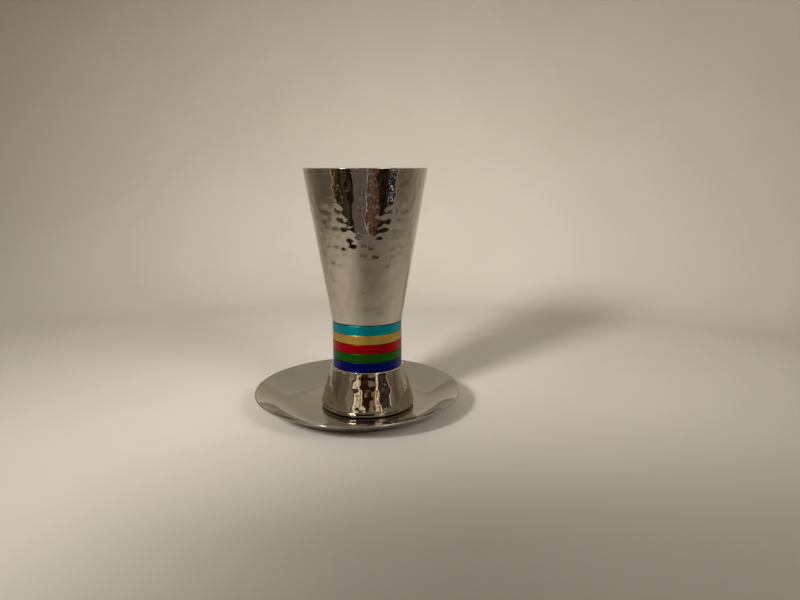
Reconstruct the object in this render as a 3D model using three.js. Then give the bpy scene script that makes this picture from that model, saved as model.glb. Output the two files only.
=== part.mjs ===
// Kiddush cup on its saucer: a hammered cone bowl and a hammered foot, with five coloured rings
// stacked between them as a waist. Millimetres, +Z up.
// The origin is the centre of the saucer's underside, on the surface that the saucer stands on.
// The cup stands in the saucer's flat well a little to +X of the middle, as it was put down.

import * as THREE from "three";

// Saucer: one spun sheet with a flat well, a round bend and a straight sloping brim.
const SAUCER_RADIUS = 61.6;
const SAUCER_HEIGHT = 10.7;
const SAUCER_SHEET = 1;
const WELL_RADIUS = 37;
const BRIM_SLOPE = THREE.MathUtils.degToRad(30);
const SAUCER_RIM_ROUNDING = 0.45;

// Where the cup stands, and its height without the saucer.
const CUP_OFFSET = 5.8;
const CUP_HEIGHT = 140;

// Foot: a hollow cone, closed on top, with its lower edge turned in to stand on.
const FOOT_HEIGHT = 25.2;
const FOOT_SHOULDER_RADIUS = 21.5;
const FOOT_SPREAD = 0.295;
const FOOT_WALL = 1;
const FOOT_SHOULDER_ROUNDING = 1;
const FOOT_EDGE_ROUNDING = 2.5;
const FOOT_LIP_RADIUS = 23;

// Rings: equal solid discs, one for each colour, from the foot upwards.
const RING_COLOURS = [
  ["ring_blue", 0x0b1f8c],
  ["ring_green", 0x2f8a1c],
  ["ring_red", 0xb01220],
  ["ring_gold", 0xc9a352],
  ["ring_turquoise", 0x129aa0],
];
const RING_RADIUS = 20.5;
const RING_HEIGHT = 5.42;
const RING_CHAMFER = 0.3;

// Bowl: a plain cone with a flat floor and an even wall.
const BOWL_BASE_RADIUS = 20.7;
const BOWL_RIM_RADIUS = 35.6;
const BOWL_WALL = 1;
const BOWL_FLOOR = 1.5;
const BOWL_BASE_ROUNDING = 1.2;
const BOWL_RIM_ROUNDING = 0.4;
const BOWL_HEEL_ROUNDING = 5;

// Hammering: the dents sit in a staggered pattern, each with six facets round it.
const DENT_DEPTH = 0.25;
const HAMMERED_SEGMENTS = 48;
const DENT_EVERY = 3;

const RING_SEGMENTS = 48;
const SAUCER_SEGMENTS = 72;

const polished = new THREE.MeshStandardMaterial({ color: 0xcfc8ba, roughness: 0.08, metalness: 1 });
const hammeredMetal = polished.clone();
hammeredMetal.flatShading = true;

// A corner of an outline, at radius r and height z. It is sharp, or rounded off in a number of steps.
function corner(r, z, rounding = 0, steps = 0) {
  return { at: new THREE.Vector2(r, z), rounding, steps };
}

// The points that stand for a corner between its two neighbours: itself, or the arc that rounds it.
function pointsOf({ at, rounding, steps }, before, after) {
  if (steps === 0) return [at];
  const back = before.at.clone().sub(at).normalize();
  const onward = after.at.clone().sub(at).normalize();
  const halfAngle = Math.acos(back.dot(onward)) / 2;
  const toTangent = rounding / Math.tan(halfAngle);
  const toCentre = rounding / Math.sin(halfAngle);
  const centre = back.clone().add(onward).setLength(toCentre).add(at);
  const start = back.clone().setLength(toTangent).add(at).sub(centre);
  const end = onward.clone().setLength(toTangent).add(at).sub(centre);
  const sweep = Math.atan2(start.cross(end), start.dot(end));
  const origin = new THREE.Vector2();
  const points = [];
  for (let step = 0; step <= steps; step += 1) {
    points.push(start.clone().rotateAround(origin, (sweep * step) / steps).add(centre));
  }
  return points;
}

// An outline from the axis back to the axis, through its corners.
function outlineOf(corners) {
  return corners.flatMap((one, i) => pointsOf(one, corners[i - 1], corners[i + 1]));
}

// Turns an outline about the Z axis.
function turned(outline, segments) {
  return new THREE.LatheGeometry(outline, segments).rotateX(Math.PI / 2);
}

// The points that split a straight cone into rows. Each row is as tall as its triangles are wide,
// so the radius grows by the same factor from row to row.
function hammeredRows(from, to) {
  const growth = Math.log(to.x / from.x);
  const slantPerRadius = from.distanceTo(to) / (to.x - from.x);
  const rowShare = (Math.PI * Math.sqrt(3)) / HAMMERED_SEGMENTS;
  const rows = Math.round((growth * slantPerRadius) / rowShare);
  const points = [];
  for (let row = 1; row < rows; row += 1) {
    const radius = from.x * Math.exp((growth * row) / rows);
    points.push(from.clone().lerp(to, (radius - from.x) / (to.x - from.x)));
  }
  return points;
}

// Turns an outline about the Z axis, and hammers the straight wall that starts at one corner:
// each row is set half a segment on from the last, and every third vertex is sunk into a dent.
function hammered(corners, wallStart) {
  const upToWall = corners.slice(0, corners.indexOf(wallStart) + 1);
  const first = upToWall.reduce((count, one) => count + one.steps + 1, 0) - 1;
  const outline = outlineOf(corners);
  const rows = hammeredRows(outline[first], outline[first + 1]);
  outline.splice(first + 1, 0, ...rows);
  const last = first + rows.length + 1;
  const geometry = new THREE.LatheGeometry(outline, HAMMERED_SEGMENTS);
  const { position } = geometry.attributes;
  const step = (2 * Math.PI) / HAMMERED_SEGMENTS;
  for (let segment = 0; segment <= HAMMERED_SEGMENTS; segment += 1) {
    outline.forEach((point, row) => {
      const shifts = THREE.MathUtils.clamp(row, first, last) - first;
      const angle = (segment + shifts / 2) * step;
      const isDent = row > first && row < last && (segment - row) % DENT_EVERY === 0;
      const radius = isDent ? point.x - DENT_DEPTH : point.x;
      const vertex = segment * outline.length + row;
      position.setXYZ(vertex, radius * Math.sin(angle), point.y, radius * Math.cos(angle));
    });
  }
  return geometry.rotateX(Math.PI / 2);
}

function makeSaucer() {
  const half = SAUCER_SHEET / 2;
  const run = SAUCER_RADIUS - half - WELL_RADIUS;
  const rise = SAUCER_HEIGHT - SAUCER_SHEET;
  const slope = Math.tan(BRIM_SLOPE);
  const bend = (run * slope - rise) / (1 / Math.cos(BRIM_SLOPE) - 1);
  const bendCorner = WELL_RADIUS + bend * Math.tan(BRIM_SLOPE / 2);
  const bendShift = half * Math.tan(BRIM_SLOPE / 2);
  const rim = new THREE.Vector2(SAUCER_RADIUS - half, SAUCER_HEIGHT - half);
  const along = new THREE.Vector2(Math.cos(BRIM_SLOPE), Math.sin(BRIM_SLOPE)).multiplyScalar(half);
  const across = new THREE.Vector2(-along.y, along.x);
  const under = rim.clone().add(along).sub(across);
  const over = rim.clone().add(along).add(across);
  const outline = outlineOf([
    corner(0, 0),
    corner(bendCorner + bendShift, 0, bend + half, 3),
    corner(under.x, under.y, SAUCER_RIM_ROUNDING, 2),
    corner(over.x, over.y, SAUCER_RIM_ROUNDING, 2),
    corner(bendCorner - bendShift, SAUCER_SHEET, bend - half, 5),
    corner(0, SAUCER_SHEET),
  ]);
  const mesh = new THREE.Mesh(turned(outline, SAUCER_SEGMENTS), polished);
  mesh.name = "saucer";
  return mesh;
}

function makeFoot() {
  const wallAcross = FOOT_WALL * Math.hypot(1, FOOT_SPREAD);
  const radiusAt = (z) => FOOT_SHOULDER_RADIUS + (FOOT_HEIGHT - z) * FOOT_SPREAD;
  const ceiling = FOOT_HEIGHT - FOOT_WALL;
  const lowerEdge = corner(radiusAt(0), 0, FOOT_EDGE_ROUNDING, 3);
  const corners = [
    corner(0, ceiling),
    corner(radiusAt(ceiling) - wallAcross, ceiling),
    corner(radiusAt(FOOT_WALL) - wallAcross, FOOT_WALL),
    corner(FOOT_LIP_RADIUS, FOOT_WALL),
    corner(FOOT_LIP_RADIUS, 0),
    lowerEdge,
    corner(radiusAt(FOOT_HEIGHT), FOOT_HEIGHT, FOOT_SHOULDER_ROUNDING, 2),
    corner(0, FOOT_HEIGHT),
  ];
  const mesh = new THREE.Mesh(hammered(corners, lowerEdge), hammeredMetal);
  mesh.name = "foot";
  return mesh;
}

function makeRing(name, colour, level) {
  const outline = outlineOf([
    corner(0, 0),
    corner(RING_RADIUS - RING_CHAMFER, 0),
    corner(RING_RADIUS, RING_CHAMFER),
    corner(RING_RADIUS, RING_HEIGHT - RING_CHAMFER),
    corner(RING_RADIUS - RING_CHAMFER, RING_HEIGHT),
    corner(0, RING_HEIGHT),
  ]);
  const anodised = new THREE.MeshStandardMaterial({ color: colour, roughness: 0.35, metalness: 0.8 });
  const mesh = new THREE.Mesh(turned(outline, RING_SEGMENTS), anodised);
  mesh.name = name;
  mesh.position.z = FOOT_HEIGHT + level * RING_HEIGHT;
  return mesh;
}

function makeBowl() {
  const base = FOOT_HEIGHT + RING_COLOURS.length * RING_HEIGHT;
  const height = CUP_HEIGHT - base;
  const spread = (BOWL_RIM_RADIUS - BOWL_BASE_RADIUS) / height;
  const wallAcross = BOWL_WALL * Math.hypot(1, spread);
  const heelRadius = BOWL_BASE_RADIUS + BOWL_FLOOR * spread - wallAcross;
  const lowerEdge = corner(BOWL_BASE_RADIUS, 0, BOWL_BASE_ROUNDING, 2);
  const corners = [
    corner(0, 0),
    lowerEdge,
    corner(BOWL_RIM_RADIUS, height, BOWL_RIM_ROUNDING, 2),
    corner(BOWL_RIM_RADIUS - wallAcross, height, BOWL_RIM_ROUNDING, 2),
    corner(heelRadius, BOWL_FLOOR, BOWL_HEEL_ROUNDING, 3),
    corner(0, BOWL_FLOOR),
  ];
  const mesh = new THREE.Mesh(hammered(corners, lowerEdge), hammeredMetal);
  mesh.name = "bowl";
  mesh.position.z = base;
  return mesh;
}

const cup = new THREE.Group();
cup.position.set(CUP_OFFSET, 0, SAUCER_SHEET);
cup.add(makeFoot());
RING_COLOURS.forEach(([name, colour], level) => cup.add(makeRing(name, colour, level)));
cup.add(makeBowl());

const cupOnSaucer = new THREE.Group();
cupOnSaucer.add(makeSaucer(), cup);

export default cupOnSaucer;
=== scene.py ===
# %% [markdown]
# # A hammered kiddush cup on its saucer
# The cup is a foot, five anodised rings and a bowl, one above the other, and it stands on a plain
# polished saucer. Every piece is round, so almost everything here is one idea: draw half of the
# outline and turn it about the upright axis, as a spinner or a lathe does.
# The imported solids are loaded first. They give the size and the place of each piece.

import math

import bpy
import numpy as np
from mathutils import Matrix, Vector


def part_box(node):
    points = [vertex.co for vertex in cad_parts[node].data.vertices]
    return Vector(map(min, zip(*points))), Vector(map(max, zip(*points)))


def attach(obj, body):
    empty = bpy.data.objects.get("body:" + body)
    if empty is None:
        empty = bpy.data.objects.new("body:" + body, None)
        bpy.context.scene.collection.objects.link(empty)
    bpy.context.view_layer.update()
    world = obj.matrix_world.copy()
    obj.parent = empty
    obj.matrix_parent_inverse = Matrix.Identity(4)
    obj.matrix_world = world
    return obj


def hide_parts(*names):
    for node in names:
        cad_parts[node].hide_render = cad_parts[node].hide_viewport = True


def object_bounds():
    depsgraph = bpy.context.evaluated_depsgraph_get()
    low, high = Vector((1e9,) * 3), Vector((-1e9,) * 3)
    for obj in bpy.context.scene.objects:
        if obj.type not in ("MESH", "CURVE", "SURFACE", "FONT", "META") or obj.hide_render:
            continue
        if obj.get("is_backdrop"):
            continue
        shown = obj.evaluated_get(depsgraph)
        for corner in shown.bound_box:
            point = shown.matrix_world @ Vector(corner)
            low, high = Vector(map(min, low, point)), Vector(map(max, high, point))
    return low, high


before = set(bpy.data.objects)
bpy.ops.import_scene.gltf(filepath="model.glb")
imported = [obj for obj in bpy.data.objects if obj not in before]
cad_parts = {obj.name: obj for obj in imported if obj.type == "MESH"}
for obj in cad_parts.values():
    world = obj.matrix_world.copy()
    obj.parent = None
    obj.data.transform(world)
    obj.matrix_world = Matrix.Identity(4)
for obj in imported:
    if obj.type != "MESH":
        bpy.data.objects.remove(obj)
cad_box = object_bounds()
MM = 0.001
print("nodes:", ", ".join(sorted(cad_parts)))

# %% [markdown]
# ## Sizes read from the solids
# The cup stands a little to one side of the saucer's middle. Its axis is read from the bowl's own
# box, and so are the levels where one piece ends and the next begins. The fine pieces then stay in
# line with the solids, whatever their sizes are.

# %% Read the axis, the levels and the radii
def half_width(node):
    low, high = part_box(node)
    return (high[0] - low[0]) / 2


def levels(node):
    low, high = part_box(node)
    return low[2], high[2]


cup_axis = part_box("bowl")[0][0] + half_width("bowl")
saucer_bottom, saucer_top = levels("saucer")
foot_bottom, foot_top = levels("foot")
bowl_bottom, bowl_top = levels("bowl")
saucer_radius = half_width("saucer")
ring_radius = half_width("ring_red")
print(f"cup axis at x = {cup_axis / MM:.1f} mm")
print(f"bowl from z = {bowl_bottom / MM:.1f} to {bowl_top / MM:.1f} mm")

# %% [markdown]
# ## The camera
# It stands about 37 cm in front of the cup, level with the rim. From there the rim is seen exactly
# edge on, while the eye looks down into the saucer. The lens is short.

# %% Place the camera
CAMERA_PLACE = (0.0254, -0.3672, 0.1404)
CAMERA_DOWN = math.radians(11.675)
CAMERA_LENS = 28.53
camera = bpy.data.objects.new("camera", bpy.data.cameras.new("camera"))
camera.data.lens = CAMERA_LENS
camera.data.clip_start = 0.01
camera.location = CAMERA_PLACE
camera.rotation_euler = (math.pi / 2 - CAMERA_DOWN, 0, 0)
bpy.context.collection.objects.link(camera)
bpy.context.scene.camera = camera
bpy.context.scene.view_settings.view_transform = "Standard"

# %% [markdown]
# ## Outlines with rounded corners
# Real metal has no sharp edges, so an outline is a list of corners that each have a radius. The
# helper puts an arc in each corner and splits the straight runs into short steps. Short steps
# matter on a mirror: smooth shading bends a reflection wherever a long face meets a tight arc.

# %% Define the outline helpers
def corner_arc(before, here, after, radius):
    """The points of the arc that rounds the corner at here."""
    back = (before - here) / np.linalg.norm(before - here)
    onward = (after - here) / np.linalg.norm(after - here)
    half = math.acos(float(back @ onward)) / 2
    bisector = (back + onward) / np.linalg.norm(back + onward)
    centre = here + bisector * radius / math.sin(half)
    start = here + back * radius / math.tan(half) - centre
    end = here + onward * radius / math.tan(half) - centre
    sweep = math.atan2(start[0] * end[1] - start[1] * end[0], float(start @ end))
    steps = max(5, math.ceil(abs(sweep) * radius / MM))
    turns = np.linspace(0, sweep, steps + 1)
    return centre + np.outer(np.cos(turns), start) + np.outer(np.sin(turns), [-start[1], start[0]])


def outline(corners):
    """Points (r, z) through corners (r, z, rounding, step), where step splits the run up to a corner."""
    at = [np.array(corner[:2], float) for corner in corners]
    path = [at[0]]
    for i, (_, _, rounding, step) in enumerate(corners[1:], start=1):
        arc = corner_arc(at[i - 1], at[i], at[i + 1], rounding) if rounding else at[i][None]
        pieces = max(1, math.ceil(np.linalg.norm(arc[0] - path[-1]) / step))
        path += list(np.linspace(path[-1], arc[0], pieces + 1)[1:-1]) + list(arc)
    return np.array(path)


# %% [markdown]
# ## Turning an outline
# The outline runs from the axis back to the axis, so the turned mesh is closed, as a piece of
# metal is. A relief can push every point in or out along the surface, for hammering or waves, and
# the mesh remembers how far each point was sunk, so that a finish can tell hollows from ridges.
# Blender's Screw modifier could turn an outline too, but numpy arrays make the relief simple.

# %% Define the lathe
DEEPEST = 0.3 * MM


def facing(path):
    """The direction (r, z) that the surface faces at each point of an outline."""
    run = np.gradient(path, axis=0)
    run /= np.linalg.norm(run, axis=1)[:, None]
    return np.stack([run[:, 1], -run[:, 0]], axis=1)


def turned(name, path, segments, axis_x, relief=None):
    """A closed mesh: the outline turned about the upright axis at x = axis_x."""
    turns = np.arange(segments) * 2 * np.pi / segments
    around = np.stack([np.sin(turns), -np.cos(turns)], axis=1)
    rows, face = path[1:-1], facing(path)[1:-1]
    points = np.empty((len(rows), segments, 3))
    points[..., :2] = rows[:, 0, None, None] * around
    points[..., 2] = rows[:, 1, None]
    if relief is not None:
        out = np.empty_like(points)
        out[..., :2] = face[:, 0, None, None] * around
        out[..., 2] = face[:, 1, None]
        moved = relief(points, face)
        points += out * moved[..., None]
    poles = np.array([[0, 0, path[0][1]], [0, 0, path[-1][1]]])
    vertices = np.concatenate([points.reshape(-1, 3), poles]) + [axis_x, 0, 0]
    here = np.arange(segments)
    ahead = (here + 1) % segments
    first, last = len(vertices) - 2, len(vertices) - 1
    faces = [(first, b, a) for a, b in zip(here.tolist(), ahead.tolist())]
    for row in range(len(rows) - 1):
        low, high = row * segments, (row + 1) * segments
        faces += np.stack([low + here, low + ahead, high + ahead, high + here], axis=1).tolist()
    top = (len(rows) - 1) * segments
    faces += [(top + a, top + b, last) for a, b in zip(here.tolist(), ahead.tolist())]
    mesh = bpy.data.meshes.new(name)
    mesh.from_pydata(vertices.tolist(), [], faces)
    mesh.shade_smooth()
    if relief is not None:
        sunk = np.append(np.clip(-moved / DEEPEST, 0, 1).ravel(), [0, 0])
        mesh.attributes.new("sunk", "FLOAT", "POINT").data.foreach_set("value", sunk.astype(np.float32))
    piece = bpy.data.objects.new(name, mesh)
    bpy.context.collection.objects.link(piece)
    print(f"{name}: {sum(len(f) - 2 for f in faces)} triangles")
    return piece


# %% [markdown]
# ## The polished metal
# The bowl, the foot and the saucer are mirror polished, in three near tones: the bowl is slightly
# warm, the foot is a little browner, and the saucer is darker. All three are set darker than clean
# nickel or steel, to suit the light of this set, so another light may want them brighter. A mirror
# shows almost no colour of its own, so its life comes from small faults: a faint cloudiness where
# a cloth has wiped it, hair-fine polishing lines that run round the piece, and on the hammered
# pieces a ripple between the hollows. The polishing wheel rides on the ridges, so the hollows keep
# a little haze.
# Noise drives the roughness for the clouds. A second noise, squeezed flat along the height, gives
# the lines as a very weak bump. A third one gives the ripple, which a bump can carry too, because
# it is only some hundredths of a millimetre high.

# %% Make the polished metal
NICKEL = (0.52, 0.48, 0.414)
NICKEL_CLOUDED = (0.45, 0.41, 0.35)
FOOT_NICKEL = (0.44, 0.385, 0.3)
FOOT_NICKEL_CLOUDED = (0.4, 0.345, 0.265)
STEEL = (0.362, 0.334, 0.285)
STEEL_CLOUDED = (0.33, 0.302, 0.257)
HOLLOW_HAZE = 0.8
RIPPLE = 0.06 * MM


def blank_material(name):
    """A material with only its shader, and the tools to add nodes to it."""
    material = bpy.data.materials.new(name)
    material.use_nodes = True
    tree = material.node_tree
    shader = tree.nodes["Principled BSDF"]

    def node(kind, **settings):
        made = tree.nodes.new("ShaderNode" + kind)
        for key, value in settings.items():
            if key in made.inputs:
                made.inputs[key].default_value = value
            else:
                setattr(made, key, value)
        return made

    return material, shader, node, tree.links.new


def cloud(node, link, scale, stretch=(1, 1, 1), detail=4, roughness=0.55):
    """A noise in the object's own space, in features per metre, stretched along the axes."""
    place = node("TexCoord")
    squeeze = node("Mapping", Scale=stretch)
    noise = node("TexNoise", Scale=scale, Detail=detail, Roughness=roughness)
    link(place.outputs["Object"], squeeze.inputs["Vector"])
    link(squeeze.outputs["Vector"], noise.inputs["Vector"])
    return noise.outputs["Fac"]


def ramped(node, link, value, low, high, to_low, to_high):
    """A value taken from one range to another, and held inside it."""
    ramp = node("MapRange")
    for key, number in zip(("From Min", "From Max", "To Min", "To Max"), (low, high, to_low, to_high)):
        ramp.inputs[key].default_value = number
    link(value, ramp.inputs["Value"])
    return ramp.outputs["Result"]


def blended(node, link, amount, one, other):
    """A colour between two others."""
    mix = node("Mix", data_type="RGBA")
    mix.inputs[6].default_value = (*one, 1)
    mix.inputs[7].default_value = (*other, 1)
    link(amount, mix.inputs[0])
    return mix.outputs[2]


def polished_metal(name, clear, clouded, gloss, clouding, ripple=0):
    material, shader, node, link = blank_material(name)
    shader.inputs["Metallic"].default_value = 1
    wiped = cloud(node, link, 55, stretch=(1, 1, 0.6))
    sunk = node("Attribute", attribute_name="sunk")
    hazy = node("Math", operation="MULTIPLY_ADD", use_clamp=True)
    hazy.inputs[1].default_value = HOLLOW_HAZE
    link(sunk.outputs["Fac"], hazy.inputs[0])
    link(ramped(node, link, wiped, 0.42, 0.75, 0, 0.7), hazy.inputs[2])
    link(blended(node, link, hazy.outputs[0], clear, clouded), shader.inputs["Base Color"])
    link(ramped(node, link, hazy.outputs[0], 0.1, 1, gloss, gloss + clouding), shader.inputs["Roughness"])
    rippled = node("Bump", Strength=1, Distance=ripple)
    link(cloud(node, link, 330, detail=1), rippled.inputs["Height"])
    lines = cloud(node, link, 900, stretch=(0.08, 0.08, 3), detail=2)
    bump = node("Bump", Strength=0.05, Distance=0.01 * MM)
    link(lines, bump.inputs["Height"])
    link(rippled.outputs["Normal"], bump.inputs["Normal"])
    link(bump.outputs["Normal"], shader.inputs["Normal"])
    return material


bowl_metal = polished_metal("hammered_metal", NICKEL, NICKEL_CLOUDED, 0.035, 0.06, ripple=RIPPLE)
foot_metal = polished_metal("foot_metal", FOOT_NICKEL, FOOT_NICKEL_CLOUDED, 0.035, 0.06, ripple=RIPPLE)
saucer_metal = polished_metal("saucer_metal", STEEL, STEEL_CLOUDED, 0.06, 0.06)
print("polished metals: bowl", NICKEL, "foot", FOOT_NICKEL, "saucer", STEEL)

# %% [markdown]
# ## The hammering
# A smith works round the cone in rows and lets a domed hammer fall every few millimetres, then
# polishes the ridges until the hollows run softly into each other. Each blow is a shallow hollow
# with a soft edge, and all the hollows add up. The hammer leans a little, so that a hollow runs
# out gently upwards and ends more steeply below: that lower lip is what catches the dark room.
# Each blow lands a little off its place, and some are much deeper than others, because on real
# metal no two hollows mirror alike. The seeds of both cones were picked from many draws by the
# pattern that they mirror, and another seed hammers as true a cup.

# %% Define the hammer
BLOW_PITCH = 5.5 * MM
BLOW_DEPTH = (0.05 * MM, 0.25 * MM)
HALF_WIDTH = 2.2 * MM
REACH_ABOVE = 4.2 * MM
REACH_BELOW = 1.4 * MM
SHOW_THROUGH = 0.35


def hammer_blows(low, high, chance):
    """Where the blows land on a cone wall from (r, z) low to high: their turns, heights and depths."""
    rows = round((high[1] - low[1]) / (BLOW_PITCH * 0.87))
    turns, heights = [], []
    for row in range(rows):
        share = (row + 0.5) / rows
        radius = low[0] + (high[0] - low[0]) * share
        count = round(2 * math.pi * radius / BLOW_PITCH)
        start = chance.uniform(0, 2 * math.pi)
        turns.append(start + (np.arange(count) + chance.uniform(-0.2, 0.2, count)) * 2 * math.pi / count)
        heights.append(low[1] + (high[1] - low[1]) * (share + chance.uniform(-0.25, 0.25, count) / rows))
    turns, heights = np.concatenate(turns), np.concatenate(heights)
    depths = BLOW_DEPTH[0] + (BLOW_DEPTH[1] - BLOW_DEPTH[0]) * chance.random(len(turns)) ** 1.4
    print(f"{len(turns)} hammer blows in {rows} rows")
    return turns, heights, depths


def hammering(low, high, seed, strength=1):
    """A relief for the lathe: dents on the outer wall, which show softly through to the inner one."""
    turns, heights, depths = hammer_blows(low, high, np.random.default_rng(seed))
    depths = depths * strength
    fade = 1.5 * MM

    def relief(points, face):
        height = points[:, 0, 2]
        share = np.where(face[:, 0] > 0.7, 1.0, np.where(face[:, 0] < -0.7, -SHOW_THROUGH, 0.0))
        share *= np.clip((height - low[1]) / fade, 0, 1) * np.clip((high[1] - height) / fade, 0, 1)
        moved = np.zeros(points.shape[:2])
        for row in np.flatnonzero(share):
            radius = math.hypot(*points[row, 0, :2])
            turn = np.arctan2(points[row, :, 0], -points[row, :, 1])
            apart = (turn[:, None] - turns + math.pi) % (2 * math.pi) - math.pi
            above = height[row] - heights
            along = above / np.where(above > 0, REACH_ABOVE, REACH_BELOW)
            hollows = depths * np.exp(-((apart * radius / HALF_WIDTH) ** 2) - along**2)
            moved[row] = -share[row] * hollows.sum(axis=1)
        return moved

    return relief


# %% [markdown]
# ## The bowl
# The bowl is a plain cone with a flat floor and an even wall of a millimetre, about 71 mm across
# at the rim. It is hammered right up to the edge, which is left plain and only rounded. The steps
# along the outer wall are fine enough for some nine faces to cross each dent.

# %% Make the bowl
BOWL_BASE_RADIUS = 20.7 * MM
BOWL_RIM_RADIUS = 35.6 * MM
WALL = 1 * MM
BOWL_FLOOR = 1.5 * MM
FINE = 0.6 * MM
COARSE = 1.5 * MM
HIDDEN = 3 * MM
RIM_ROUNDING = 0.4 * MM
CONE_SEGMENTS = 360

bowl_spread = (BOWL_RIM_RADIUS - BOWL_BASE_RADIUS) / (bowl_top - bowl_bottom)
bowl_wall_across = WALL * math.hypot(1, bowl_spread)
heel_radius = BOWL_BASE_RADIUS + BOWL_FLOOR * bowl_spread - bowl_wall_across
bowl_outline = outline([
    (0, bowl_bottom, 0, 0),
    (BOWL_BASE_RADIUS, bowl_bottom, 1.2 * MM, HIDDEN),
    (BOWL_RIM_RADIUS, bowl_top, RIM_ROUNDING, FINE),
    (BOWL_RIM_RADIUS - bowl_wall_across, bowl_top, RIM_ROUNDING, FINE),
    (heel_radius, bowl_bottom + BOWL_FLOOR, 5 * MM, COARSE),
    (0, bowl_bottom + BOWL_FLOOR, 0, HIDDEN),
])
bowl_hammering = hammering((BOWL_BASE_RADIUS, bowl_bottom), (BOWL_RIM_RADIUS, bowl_top), seed=5)
bowl = turned("bowl_hammered", bowl_outline, CONE_SEGMENTS, cup_axis, bowl_hammering)
bowl.data.materials.append(bowl_metal)
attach(bowl, "root")
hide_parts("bowl")

# %% [markdown]
# ## The foot
# The foot is a flared cone, closed on top and open below, with its lower edge rolled in so that it
# stands on smooth metal. It has the same hammering as the bowl, only deeper, so that the small
# cone breaks up what it mirrors as much as the bowl does. A round shoulder shows as a bright line
# under the lowest ring.

# %% Make the foot
FOOT_SHOULDER_RADIUS = 21.5 * MM
FOOT_SPREAD = 0.295
FOOT_LIP_RADIUS = 23 * MM

foot_wall_across = WALL * math.hypot(1, FOOT_SPREAD)


def foot_radius(z):
    return FOOT_SHOULDER_RADIUS + (foot_top - z) * FOOT_SPREAD


foot_outline = outline([
    (0, foot_top - WALL, 0, 0),
    (foot_radius(foot_top - WALL) - foot_wall_across, foot_top - WALL, 0, HIDDEN),
    (foot_radius(foot_bottom + WALL) - foot_wall_across, foot_bottom + WALL, 0, COARSE),
    (FOOT_LIP_RADIUS, foot_bottom + WALL, RIM_ROUNDING, HIDDEN),
    (FOOT_LIP_RADIUS, foot_bottom, RIM_ROUNDING, FINE),
    (foot_radius(foot_bottom), foot_bottom, 2.5 * MM, FINE),
    (FOOT_SHOULDER_RADIUS, foot_top, 1 * MM, FINE),
    (0, foot_top, 0, HIDDEN),
])
foot_hammering = hammering(
    (foot_radius(foot_bottom), foot_bottom), (FOOT_SHOULDER_RADIUS, foot_top), seed=19, strength=1.4)
foot = turned("foot_hammered", foot_outline, CONE_SEGMENTS, cup_axis, foot_hammering)
foot.data.materials.append(foot_metal)
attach(foot, "root")
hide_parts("foot")

# %% [markdown]
# ## The saucer
# A saucer like this is pressed from one sheet: a flat well, a round bend and a straight brim. It
# isn't hammered, but pressing never leaves it quite true, so long, very shallow waves bend its
# reflections. They are a sum of a few plain waves in different directions. The well stays flat,
# because the foot stands in it, and the waves run out before the rim, because the edge is stiff.
# The edge's corners start a hair further in than those of the solid: they are rounder here, and
# would otherwise bulge out of the solid's box.

# %% Make the saucer
SHEET = 1 * MM
WELL_RADIUS = 37 * MM
BRIM_SLOPE = math.radians(30)
EDGE_INSET = 0.02 * MM
EDGE_ROUNDING = 0.45 * MM
WAVE_FADE = 6 * MM
SAUCER_SEGMENTS = 256

half_sheet = SHEET / 2
run = saucer_radius - half_sheet - WELL_RADIUS
rise = saucer_top - saucer_bottom - SHEET
bend = (run * math.tan(BRIM_SLOPE) - rise) / (1 / math.cos(BRIM_SLOPE) - 1)
bend_corner = WELL_RADIUS + bend * math.tan(BRIM_SLOPE / 2)
bend_shift = half_sheet * math.tan(BRIM_SLOPE / 2)
along_r, along_z = half_sheet * math.cos(BRIM_SLOPE), half_sheet * math.sin(BRIM_SLOPE)
edge_r, edge_z = saucer_radius - half_sheet - EDGE_INSET, saucer_top - half_sheet
saucer_outline = outline([
    (0, saucer_bottom, 0, 0),
    (bend_corner + bend_shift, saucer_bottom, bend + half_sheet, COARSE),
    (edge_r + along_r + along_z, edge_z + along_z - along_r, EDGE_ROUNDING, COARSE),
    (edge_r + along_r - along_z, edge_z + along_z + along_r, EDGE_ROUNDING, FINE),
    (bend_corner - bend_shift, saucer_bottom + SHEET, bend - half_sheet, MM),
    (0, saucer_bottom + SHEET, 0, MM),
])


def waves(points, face, seed=11, count=6, height=0.012 * MM):
    """A relief for the lathe: long shallow waves, alike on both sides of the sheet."""
    chance = np.random.default_rng(seed)
    moved = np.zeros(points.shape[:2])
    for _ in range(count):
        heading, length = chance.uniform(0, math.pi), chance.uniform(20, 45) * MM
        phase = chance.uniform(0, 2 * math.pi)
        travelled = points[..., 0] * math.cos(heading) + points[..., 1] * math.sin(heading)
        moved += height * np.sin(travelled * 2 * math.pi / length + phase)
    out = np.hypot(points[:, :1, 0], points[:, :1, 1])
    share = np.clip((out - WELL_RADIUS) / WAVE_FADE, 0, 1)
    share *= np.clip((saucer_radius - MM - out) / WAVE_FADE, 0, 1)
    return moved * np.sign(face[:, 1])[:, None] * share


saucer = turned("saucer_pressed", saucer_outline, SAUCER_SEGMENTS, 0, waves)
saucer.data.materials.append(saucer_metal)
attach(saucer, "root")
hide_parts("saucer")

# %% [markdown]
# ## The rings
# Each ring is aluminium, turned on a lathe, dyed and sealed by anodising. The metal shows through
# the dye, so the colour is the metal's own, and the seal adds only a trace of gloss. Turning
# leaves fine level lines, which spread the light up and down. The rings' edges are rounded, and
# the grooves between them carry painted shade: a dark colour, patchy, darker in some places than others.
# One function makes every ring, and only the colour differs.

# %% Make the rings
RING_ROUNDING = 0.3 * MM
RING_SEGMENTS = 240
RING_FACE_STEP = 5 * MM
# Painted shade for the joints between the rings.
JOINT_SHADE = (0.01, 0.008, 0.006, 1)
RING_DYES = {
    "blue": (0.0015, 0.004, 0.155),
    "green": (0.013, 0.103, 0.003),
    "red": (0.35, 0.001, 0.004),
    "gold": (0.485, 0.32, 0.066),
    "turquoise": (0.001, 0.295, 0.36),
}


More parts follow.
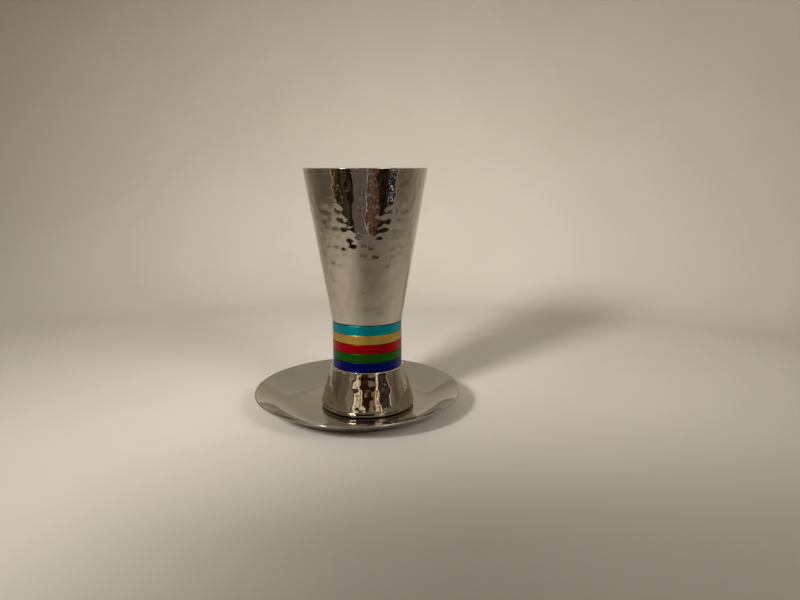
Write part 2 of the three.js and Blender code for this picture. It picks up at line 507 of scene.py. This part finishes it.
def anodised(name, dye, bottom, top):
    material, shader, node, link = blank_material(name)
    shader.inputs["Metallic"].default_value = 1
    shader.inputs["Coat Weight"].default_value = 0.04
    shader.inputs["Coat Roughness"].default_value = 0.2
    place, split = node("TexCoord"), node("SeparateXYZ")
    link(place.outputs["Object"], split.inputs[0])
    middle, half = (bottom + top) / 2, (top - bottom) / 2
    from_middle = node("Math", operation="SUBTRACT")
    from_middle.inputs[1].default_value = middle
    away = node("Math", operation="ABSOLUTE")
    link(split.outputs["Z"], from_middle.inputs[0])
    link(from_middle.outputs[0], away.inputs[0])
    # Painted shade: the rounded edges and the faces in the joints are mixed towards near black, patchy.
    in_joint = ramped(node, link, away.outputs[0], half - RING_ROUNDING, half, 0, 0.9)
    patchy = cloud(node, link, 300, detail=3)
    joint_shade_amount = node("Math", operation="MULTIPLY")
    link(in_joint, joint_shade_amount.inputs[0])
    link(ramped(node, link, patchy, 0.35, 0.65, 0.6, 1), joint_shade_amount.inputs[1])
    deep = tuple(0.8 * channel for channel in dye)
    tone = blended(node, link, ramped(node, link, cloud(node, link, 120), 0.35, 0.7, 0, 1), dye, deep)
    mix = node("Mix", data_type="RGBA")
    mix.inputs[7].default_value = JOINT_SHADE
    link(joint_shade_amount.outputs[0], mix.inputs[0])
    link(tone, mix.inputs[6])
    link(mix.outputs[2], shader.inputs["Base Color"])
    turning = cloud(node, link, 2500, stretch=(0.02, 0.02, 1), detail=2)
    link(ramped(node, link, turning, 0.3, 0.7, 0.28, 0.42), shader.inputs["Roughness"])
    bump = node("Bump", Strength=0.25, Distance=0.01 * MM)
    link(turning, bump.inputs["Height"])
    link(bump.outputs["Normal"], shader.inputs["Normal"])
    return material


for colour, dye in RING_DYES.items():
    bottom, top = levels(f"ring_{colour}")
    ring_outline = outline([
        (0, bottom, 0, 0),
        (ring_radius, bottom, RING_ROUNDING, RING_FACE_STEP),
        (ring_radius, top, RING_ROUNDING, FINE),
        (0, top, 0, RING_FACE_STEP),
    ])
    ring = turned(f"ring_{colour}_turned", ring_outline, RING_SEGMENTS, cup_axis)
    ring.data.materials.append(anodised(f"anodised_{colour}", dye, bottom, top))
    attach(ring, "root")
    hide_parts(f"ring_{colour}")

# %% [markdown]
# ## The table and the backdrop
# The cup stands on pale cloth that sweeps up into a backdrop all round, so that no edge shows from
# any side. The sweep is turned with the same lathe helper as the cup.

# %% Make the sweep
SWEEP_RADIUS = 0.78
SWEEP_BEND = 0.2
SWEEP_HEIGHT = 1.2
SWEEP_FORWARD = 0.3
SWEEP_SEGMENTS = 96
CLOTH = (0.74, 0.685, 0.605)
CLOTH_SHADE = (0.68, 0.625, 0.545)


def cloth_material():
    material, shader, node, link = blank_material("pale_cloth")
    shader.inputs["Roughness"].default_value = 0.95
    shader.inputs["Specular IOR Level"].default_value = 0.2
    soft = cloud(node, link, 3)
    link(blended(node, link, ramped(node, link, soft, 0.35, 0.65, 0, 1), CLOTH, CLOTH_SHADE),
         shader.inputs["Base Color"])
    return material


sweep_profile = outline([
    (0, 0, 0, 0),
    (SWEEP_RADIUS, 0, SWEEP_BEND, 0.1),
    (SWEEP_RADIUS, SWEEP_HEIGHT, 0, 0.2),
])
sweep_path = sweep_profile[sweep_profile[:, 0] >= 0]


def sheet_turned(name, path, segments):
    """An open surface: the outline turned about the upright axis, seen from inside."""
    turns = np.arange(segments) * 2 * np.pi / segments
    points = [(r * math.sin(t), -r * math.cos(t), z) for r, z in path[1:] for t in turns]
    points.append((0, 0, path[0][1]))
    centre = len(points) - 1
    faces = [(centre, (i + 1) % segments, i) for i in range(segments)]
    for row in range(len(path) - 2):
        low, high = row * segments, (row + 1) * segments
        for i in range(segments):
            ahead = (i + 1) % segments
            faces.append((low + i, low + ahead, high + ahead, high + i))
    mesh = bpy.data.meshes.new(name)
    mesh.from_pydata(points, [], faces)
    mesh.shade_smooth()
    made = bpy.data.objects.new(name, mesh)
    bpy.context.collection.objects.link(made)
    return made


sweep = sheet_turned("sweep", sweep_path, SWEEP_SEGMENTS)
sweep.location.y = -SWEEP_FORWARD
sweep.data.materials.append(cloth_material())
sweep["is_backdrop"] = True

# %% [markdown]
# ## The lamps
# Two lamps stand in front of the cup, one on each side of the camera and above it. The left one is
# the stronger: it lights the cloth round the cup and throws the soft shadow to the back right.
# The air round them is filled with weak even light. A small black flag hangs above the cloth in
# front of the cup and keeps some lamplight off it, so that the front of the bowl doesn't mirror
# glaring cloth. Neither the camera nor any reflection sees the flag itself.

# %% Place the lamps
LAMP_DISTANCE = 0.75
FLAG_LOW, FLAG_HIGH, FLAG_LEVEL = (-0.22, -0.4), (0.12, -0.285), 0.21
AIR_COLOUR = (0.9, 0.86, 0.8, 1)
AIR_STRENGTH = 0.31


def lamp(name, azimuth, elevation, size, watts, spread, aim):
    """A round soft lamp. Its place is given as seen from the cup's foot, with azimuth 0 in front."""
    light = bpy.data.lights.new(name, "AREA")
    light.shape = "DISK"
    light.size = size
    light.energy = watts
    light.color = (1, 0.98, 0.95)
    light.spread = math.radians(spread)
    turn, lift = math.radians(azimuth), math.radians(elevation)
    away = Vector((math.cos(lift) * math.sin(turn), -math.cos(lift) * math.cos(turn), math.sin(lift)))
    made = bpy.data.objects.new(name, light)
    made.location = Vector((cup_axis, 0, foot_top)) + away * LAMP_DISTANCE
    made.rotation_euler = (Vector(aim) - made.location).to_track_quat("-Z", "Y").to_euler()
    bpy.context.collection.objects.link(made)
    return made


lamp("lamp_left", azimuth=-38, elevation=32, size=0.15, watts=0.98, spread=70, aim=(0.1, 0.26, 0.03))
lamp("lamp_right", azimuth=46, elevation=33, size=0.34, watts=0.3, spread=60, aim=(0, 0.2, 0.03))


def flat_card(name, low, high, level):
    """A level card, from low to high in (x, y)."""
    corners = [(low[0], low[1]), (high[0], low[1]), (high[0], high[1]), (low[0], high[1])]
    mesh = bpy.data.meshes.new(name)
    mesh.from_pydata([(x, y, level) for x, y in corners], [], [(0, 1, 2, 3)])
    card = bpy.data.objects.new(name, mesh)
    bpy.context.collection.objects.link(card)
    return card


flag = flat_card("flag", FLAG_LOW, FLAG_HIGH, FLAG_LEVEL)
black, shader, _, _ = blank_material("flag_cloth")
shader.inputs["Base Color"].default_value = (0.02, 0.02, 0.02, 1)
flag.data.materials.append(black)
flag.visible_camera = False
flag.visible_glossy = False
flag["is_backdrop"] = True

world = bpy.data.worlds.new("even_light")
world.use_nodes = True
world.node_tree.nodes["Background"].inputs["Color"].default_value = AIR_COLOUR
world.node_tree.nodes["Background"].inputs["Strength"].default_value = AIR_STRENGTH
bpy.context.scene.world = world

# %% [markdown]
# ## The dark room in front
# Bright metal shows whatever is in front of it. The cloth ends about 25 cm before the cup, and
# beyond it lies a dark room with a few coloured things in it. Without that, the hammering would
# hardly show, because a dent only mirrors an edge between light and dark. The room belongs to the
# set and not to the cup: it lights nothing, and it can be left out.
# Two glowing screens stand for the room, as painted reflections. One lies on the cloth beyond its
# edge and gives what the bowl sees, and the other stands behind the camera and gives what the foot
# sees. Only reflections see them. Both take their colour from the direction, so each thing in the
# room is an upright stripe. A thing has one colour nearby or low down, another one farther or
# higher, and a third one for painted glints, which a noise scatters over it.

# %% Make the room
ROOM_RADIUS = 0.62
ROOM_HEIGHT = 0.6
ROOM_GLOW = 1.25
ROOM_LEVEL = 0.5 * MM
CLOTH_FRONT = 0.248
LOW_CHANGE = 0.4
HIGH_CHANGE = 0.155
BLACK = (0.012, 0.007, 0.004)
LOW_THINGS = [
    (-64, (0.32, 0.21, 0.08), (0.32, 0.21, 0.08), (0.6, 0.45, 0.16)),
    (-61, (0.05, 0.03, 0.012), (0.06, 0.03, 0.012), (0.5, 0.36, 0.12)),
    (-50, (0.02, 0.012, 0.006), (0.03, 0.012, 0.006), (0.12, 0.09, 0.06)),
    (-43, (0.046, 0.04, 0.022), (0.053, 0.046, 0.026), (0.02, 0.018, 0.01)),
    (-31, BLACK, BLACK, (0.04, 0.02, 0.015)),
    (-22, (0.115, 0.09, 0.075), (0.125, 0.1, 0.085), (0.2, 0.165, 0.145)),
    (4, (0.38, 0.38, 0.42), (0.38, 0.38, 0.4), (0.4, 0.4, 0.42)),
    (6, (0.09, 0.045, 0.026), (0.12, 0.11, 0.115), (0.2, 0.14, 0.12)),
    (18, (0.07, 0.032, 0.018), (0.08, 0.03, 0.016), (0.22, 0.16, 0.13)),
    (27, BLACK, BLACK, (0.06, 0.03, 0.02)),
    (48, (0.016, 0.014, 0.011), (0.022, 0.02, 0.018), (0.42, 0.42, 0.42)),
    # Painted lit edge: the bright front edge of the room's right wall.
    (62, (0.4, 0.38, 0.33), (0.4, 0.38, 0.33), (0.4, 0.38, 0.33)),
]
HIGH_THINGS = [
    (-80, (0.153, 0.125, 0.091), (0.153, 0.125, 0.091), (0.14, 0.11, 0.08)),
    (-62, (0.177, 0.14, 0.1), (0.177, 0.14, 0.1), (0.14, 0.11, 0.08)),
    (-52, (0.29, 0.25, 0.2), (0.35, 0.3, 0.26), (0.05, 0.03, 0.02)),
    (-39, (0.1, 0.07, 0.05), (0.03, 0.02, 0.012), (0.35, 0.3, 0.26)),
    (-33, (1, 0.93, 0.72), BLACK, (0.03, 0.02, 0.012)),
    (-9, (0.04, 0.012, 0.006), BLACK, (0.08, 0.03, 0.02)),
    (3, (0.3, 0.24, 0.18), BLACK, (0.03, 0.02, 0.01)),
    (19, (0.1, 0.05, 0.02), (0.3, 0.12, 0.05), (0.3, 0.2, 0.13)),
    # Painted highlight: the bright peach stripe.
    (22, (0.95, 0.7, 0.5), (1, 0.93, 0.8), (0.05, 0.02, 0.01)),
    (35, (0.024, 0.019, 0.015), BLACK, (0.3, 0.27, 0.23)),
    (56, (0.02, 0.015, 0.01), (0.03, 0.02, 0.01), (0.1, 0.08, 0.06)),
    # Painted lit edge: the bright front edge of the room's right wall, higher up.
    (59, (0.75, 0.72, 0.68), (0.75, 0.72, 0.68), (0.75, 0.72, 0.68)),
    (62, (0.224, 0.185, 0.131), (0.224, 0.185, 0.131), (0.18, 0.14, 0.1)),
    (72, (0.153, 0.125, 0.091), (0.153, 0.125, 0.091), (0.14, 0.11, 0.08)),
]


def room_material(name, things, half_angle, axis, change_at):
    """Glows as a painted reflection, in the colour of the thing in that direction, and changes at a
    distance along an axis.
    """
    material, shader, node, link = blank_material(name)
    glow = node("Emission", Strength=ROOM_GLOW)
    link(glow.outputs[0], material.node_tree.nodes["Material Output"].inputs["Surface"])
    material.node_tree.nodes.remove(shader)

    def sums(operation, one, other):
        made = node("Math", operation=operation)
        for socket, value in zip(made.inputs, (one, other)):
            if isinstance(value, (int, float)):
                socket.default_value = value
            else:
                link(value, socket)
        return made.outputs[0]

    def ramp_of(which, share):
        ramp = node("ValToRGB")
        ramp.color_ramp.interpolation = "CONSTANT"
        stops = ramp.color_ramp.elements
        for i, thing in enumerate(things):
            at = (math.radians(thing[0]) + half_angle) / (2 * half_angle)
            stop = stops[i] if i < 2 else stops.new(at)
            stop.position = at
            stop.color = (*thing[which], 1)
        link(share, ramp.inputs[0])
        return ramp.outputs[0]

    def mixed(amount, one, other):
        mix = node("Mix", data_type="RGBA")
        for socket, value in zip((mix.inputs[0], mix.inputs[6], mix.inputs[7]), (amount, one, other)):
            link(value, socket)
        return mix.outputs[2]

    place, split = node("TexCoord"), node("SeparateXYZ")
    link(place.outputs["Object"], split.inputs[0])
    unsteady = sums("SUBTRACT", cloud(node, link, 14, detail=2), 0.5)
    turn = sums("ARCTAN2", split.outputs["X"], sums("MULTIPLY", split.outputs["Y"], -1))
    turn = sums("ADD", turn, sums("MULTIPLY", unsteady, 0.16))
    share = ramped(node, link, turn, -half_angle, half_angle, 0, 1)
    away = sums("ADD", sums("MULTIPLY", split.outputs[axis], -1 if axis == "Y" else 1),
                sums("MULTIPLY", unsteady, 0.12))
    changed = ramped(node, link, away, change_at, change_at + 0.01, 0, 1)
    # Painted glints: a noise scatters small spots in each thing's glint colour.
    painted_glints = ramped(node, link, cloud(node, link, 30, detail=1), 0.6, 0.63, 0, 1)
    colour = mixed(painted_glints, mixed(changed, ramp_of(1, share), ramp_of(2, share)), ramp_of(3, share))
    link(colour, glow.inputs["Color"])
    return material


def room_screen(name, rows, things, axis, change_at):
    """A screen over the room's angle. Each row is a function of the azimuth that gives (r, z)."""
    half_angle = -math.radians(things[0][0])
    turns = np.linspace(-half_angle, half_angle, 65)
    points = []
    for row in rows:
        for turn in turns:
            r, z = row(turn)
            points.append((r * math.sin(turn), -r * math.cos(turn), z))
    count = len(turns)
    faces = [
        (k * count + i, k * count + i + 1, (k + 1) * count + i + 1, (k + 1) * count + i)
        for k in range(len(rows) - 1) for i in range(count - 1)
    ]
    mesh = bpy.data.meshes.new(name)
    mesh.from_pydata(points, [], faces)
    screen = bpy.data.objects.new(name, mesh)
    screen.location.x = cup_axis
    mesh.materials.append(room_material(name, things, half_angle, axis, change_at))
    bpy.context.collection.objects.link(screen)
    only_in_reflections(screen)


def only_in_reflections(thing):
    thing.visible_camera = False
    thing.visible_diffuse = False
    thing.visible_transmission = False
    thing.visible_shadow = False
    thing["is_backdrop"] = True


def cloth_edge(turn):
    """The front edge of the cloth, which comes a little nearer at its ends."""
    return CLOTH_FRONT / (math.cos(turn) + 0.17 * abs(math.sin(turn))), ROOM_LEVEL


def room_foot(turn):
    """Where the room's floor ends and its far wall begins."""
    return ROOM_RADIUS, ROOM_LEVEL


def room_top(turn):
    """The top of the far wall."""
    return ROOM_RADIUS, ROOM_HEIGHT


room_screen("room_low", [cloth_edge, room_foot], LOW_THINGS, "Y", LOW_CHANGE)
room_screen("room_high", [room_foot, room_top], HIGH_THINGS, "Z", HIGH_CHANGE)

# %% [markdown]
# ## The hood
# The saucer lies open to what is above, and so does the inside of the bowl. A pale hood hangs over
# the set for their reflections: it glows as a painted reflection and lights nothing. It comes down
# to the backdrop in a slope, so that the saucer's brim mirrors one even tone from the backdrop up
# to the hood.

# %% Make the hood
HOOD_OUTLINE = [(0, 0.55), (0.5, 0.55), (0.775, 0.25)]
HOOD_GLOW = (0.565, 0.512, 0.437, 1)

hood = sheet_turned("hood", HOOD_OUTLINE, SWEEP_SEGMENTS)
hood.location.y = -SWEEP_FORWARD
pale, shader, node, link = blank_material("hood_painted_glow")
shader.inputs["Base Color"].default_value = (0, 0, 0, 1)
# Painted reflection: the hood glows in this pale colour, though it is no lamp.
shader.inputs["Emission Color"].default_value = HOOD_GLOW
shader.inputs["Emission Strength"].default_value = 1
hood.data.materials.append(pale)
only_in_reflections(hood)

# %% [markdown]
# ## Measure
# Both boxes are measured, and how far each corner of the visual model's box reaches past the solids' box
# is printed. The visual model has to stay inside the box of the solids.

# %% Write the sizes and finish
visual_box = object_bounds()
for end, way, cad, visual in zip(("low", "high"), (-1, 1), cad_box, visual_box):
    print(end, "corner grew by (mm):", [round(float(way * (b - a)) / MM, 3) for a, b in zip(cad, visual)])
